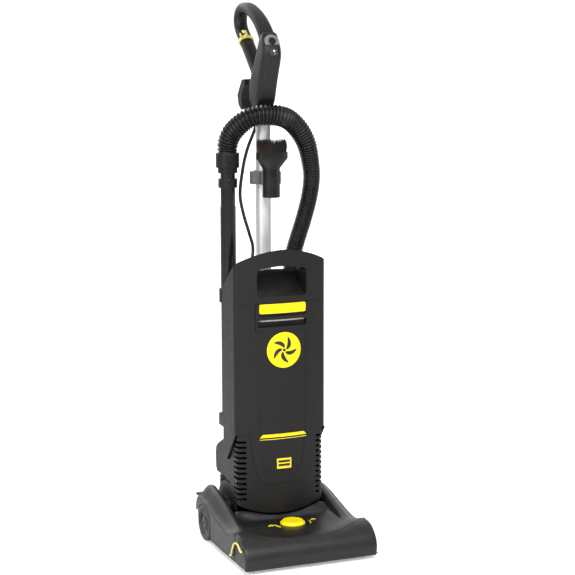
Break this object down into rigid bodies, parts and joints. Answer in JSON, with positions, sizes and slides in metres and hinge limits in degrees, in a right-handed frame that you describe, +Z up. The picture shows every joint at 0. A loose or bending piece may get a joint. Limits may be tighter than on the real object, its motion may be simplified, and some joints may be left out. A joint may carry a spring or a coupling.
{
  "type": "upright vacuum cleaner",
  "caption": "Commercial upright vacuum cleaner with reclining bag body, brushed power head, tube handle with loop grip, suction hose, wand and dusting brush.",
  "frame": {"origin": "centre of the footprint at floor level", "axes": "+Z up along the handle, +Y towards the rear, +X to the right of the machine seen from the front"},
  "size_m": [0.316, 0.445, 1.2193],
  "materials": {
    "body_black": "fine moulded texture",
    "head_grey": "satin moulded texture",
    "yellow": "semi-gloss",
    "tube_aluminium": "drawn, satin",
    "steel": "satin",
    "grip_black": "soft satin",
    "silver": "satin silver",
    "lens_grey": "gloss",
    "label": "printed film",
    "wheel_grey": "satin",
    "rubber": "matte",
    "hose_black": "semi-gloss",
    "wand_black": "semi-gloss",
    "clip_grey": "satin",
    "bristle": "fibre",
    "bag_paper": "fibrous",
    "internal_plastic": "satin",
    "motor_metal": "satin"
  },
  "bodies": {
    "power_head": {"head_hood": "head_grey", "front_bumper": "head_grey", "head_chassis": "head_grey", "sole_plate": "steel", "rubber_lip": "rubber", "end_cover": "head_grey", "brush_bearings": "steel", "drive_belt": "rubber", "pivot_bushes": "internal_plastic", "stub_axles": "steel", "duct_hose": "hose_black", "head_screws": "steel"},
    "brush_latch": {"brush_latch": "yellow"},
    "brush_roll": {"brush_core": "internal_plastic", "brush_bristles": "bristle", "brush_pulley": "internal_plastic"},
    "motor_rotor": {"motor_shaft": "steel", "cooling_fan": "internal_plastic", "motor_pulley": "internal_plastic"},
    "wheel_left": {"wheel_left": "wheel_grey"},
    "wheel_right": {"wheel_right": "wheel_grey"},
    "height_knob": {"height_knob": "yellow"},
    "roller_carriage": {"roller_carriage": "wheel_grey", "roller_axles": "steel"},
    "front_rollers": {"front_rollers": "wheel_grey"},
    "release_pedal": {"release_pedal": "grip_black"},
    "bag_door": {"bag_door": "body_black", "emblem_disc": "yellow", "info_label": "label"},
    "door_latch": {"door_latch": "yellow"},
    "power_switch": {"power_switch": "grip_black"},
    "cord_hook": {"cord_hook_upper": "grip_black"},
    "wand": {"wand": "wand_black"},
    "hose_cuff": {"hose_cuff": "wand_black"},
    "dusting_brush": {"dusting_brush": "wand_black", "dusting_bristles": "bristle"},
    "upright": {"bag_dock": "body_black", "cord_clip": "yellow", "cord_hook_lower": "body_black", "door_seal": "rubber", "exhaust_cover": "body_black", "exhaust_filter": "bag_paper", "exhaust_housing": "body_black", "filter_bag": "bag_paper", "grip_left": "grip_black", "grip_right": "grip_black", "handle_tube": "tube_aluminium", "hose_port": "body_black", "indicator_lens": "lens_grey", "lower_housing": "body_black", "motor_body": "motor_metal", "power_cord": "rubber", "rear_housing": "body_black", "strain_relief": "rubber", "suction_hose": "hose_black", "switch_plate": "silver", "tool_clip": "clip_grey", "top_cap": "body_black", "wand_clip": "wand_black", "wand_socket": "wand_black"}
  },
  "joints": [
    {"name": "upright_tilt", "type": "hinge", "parent": "power_head", "child": "upright", "pos_m": [0, 0.0415, 0.077], "axis": [-1, 0, 0], "range_deg": [0, 75], "deforming": ["duct_hose"]},
    {"name": "brush_spin", "type": "hinge", "parent": "power_head", "child": "brush_roll", "pos_m": [0, -0.1715, 0.033], "axis": [1, 0, 0], "continuous": true},
    {"name": "motor_spin", "type": "hinge", "parent": "upright", "child": "motor_rotor", "pos_m": [0, 0.0415, 0.077], "axis": [1, 0, 0], "continuous": true},
    {"name": "wheel_left_spin", "type": "hinge", "parent": "power_head", "child": "wheel_left", "pos_m": [-0.147, 0.0505, 0.042], "axis": [1, 0, 0], "continuous": true},
    {"name": "wheel_right_spin", "type": "hinge", "parent": "power_head", "child": "wheel_right", "pos_m": [0.147, 0.0505, 0.042], "axis": [1, 0, 0], "continuous": true},
    {"name": "knob_turn", "type": "hinge", "parent": "power_head", "child": "height_knob", "pos_m": [0.002, -0.1005, 0.068], "axis": [0, 0, 1], "range_deg": [0, 270]},
    {"name": "roller_height", "type": "slide", "parent": "power_head", "child": "roller_carriage", "axis": [0, 0, -1], "range_m": [0, 0.008]},
    {"name": "front_roller_spin", "type": "hinge", "parent": "roller_carriage", "child": "front_rollers", "pos_m": [0.002, -0.1105, 0.009], "axis": [1, 0, 0], "continuous": true},
    {"name": "pedal_press", "type": "hinge", "parent": "power_head", "child": "release_pedal", "pos_m": [-0.137, 0.0945, 0.081], "axis": [-1, 0, 0], "range_deg": [0, 10], "stiffness_Nm_per_rad": 0.5},
    {"name": "brush_latch_turn", "type": "hinge", "parent": "power_head", "child": "brush_latch", "pos_m": [-0.157, -0.1385, 0.022], "axis": [-1, 0, 0], "range_deg": [0, 30]},
    {"name": "door_open", "type": "hinge", "parent": "upright", "child": "bag_door", "pos_m": [0, -0.0515, 0.145], "axis": [1, 0, 0], "range_deg": [0, 70]},
    {"name": "latch_slide", "type": "slide", "parent": "bag_door", "child": "door_latch", "axis": [0, 0, -1], "range_m": [0, 0.006], "stiffness_N_per_m": 200},
    {"name": "switch_press", "type": "slide", "parent": "upright", "child": "power_switch", "axis": [0, 0.8631, -0.5051], "range_m": [0, 0.003], "stiffness_N_per_m": 300},
    {"name": "cord_hook_swivel", "type": "hinge", "parent": "upright", "child": "cord_hook", "pos_m": [0, 0.1275, 1.038], "axis": [0, 1, 0], "range_deg": [0, 180]},
    {"name": "wand_lift", "type": "slide", "parent": "upright", "child": "wand", "axis": [0, 0, 1], "range_m": [0, 0.06], "deforming": ["suction_hose"]},
    {"name": "cuff_swivel", "type": "hinge", "parent": "wand", "child": "hose_cuff", "pos_m": [-0.0855, 0.0675, 0.87], "axis": [0, 0, 1], "continuous": true},
    {"name": "tool_pull", "type": "slide", "parent": "upright", "child": "dusting_brush", "axis": [0, -1, 0], "range_m": [0, 0.06]}
  ],
  "couplings": [
    {"joint": "motor_spin", "follows": "brush_spin", "ratio": 1.625},
    {"joint": "roller_height", "follows": "knob_turn", "m_per_rad": 0.0016977}
  ]
}
